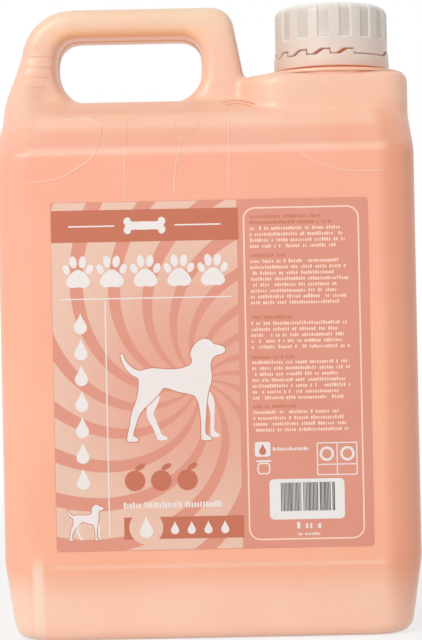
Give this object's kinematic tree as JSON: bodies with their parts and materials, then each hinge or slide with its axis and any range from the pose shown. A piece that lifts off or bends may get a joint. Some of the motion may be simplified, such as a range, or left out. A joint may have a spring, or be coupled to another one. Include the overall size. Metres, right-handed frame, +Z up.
{
  "type": "shampoo bottle",
  "caption": "Flat-fronted plastic bottle with a hollow top handle, a ribbed tamper-evident screw cap and a printed front label, for grooming shampoo.",
  "frame": {"origin": "centre of the base, on the surface that the bottle stands on", "axes": "+Z up, +X from the handle towards the neck, the label faces -Y"},
  "size_m": [0.152, 0.0961, 0.2338],
  "materials": {
    "bottle_hdpe": "satin translucent peach",
    "cap_plastic": "satin off-white",
    "liner_foam": "matt foam",
    "label_film": "printed film"
  },
  "bodies": {
    "bottle": {"bottle": "bottle_hdpe", "label": "label_film"},
    "band": {"tamper_band": "cap_plastic"},
    "cap": {"screw_cap": "cap_plastic", "cap_liner": "liner_foam"}
  },
  "joints": [
    {"name": "cap_turn", "type": "hinge", "parent": "bottle", "child": "band", "pos_m": [0.0489, 0, 0.2], "axis": [0, 0, 1], "range_deg": [0, 2160]},
    {"name": "cap_lift", "type": "slide", "parent": "band", "child": "cap", "axis": [0, 0, 1], "range_m": [0, 0.0252]}
  ],
  "couplings": [
    {"joint": "cap_lift", "follows": "cap_turn", "m_per_rad": 0.00066845}
  ]
}
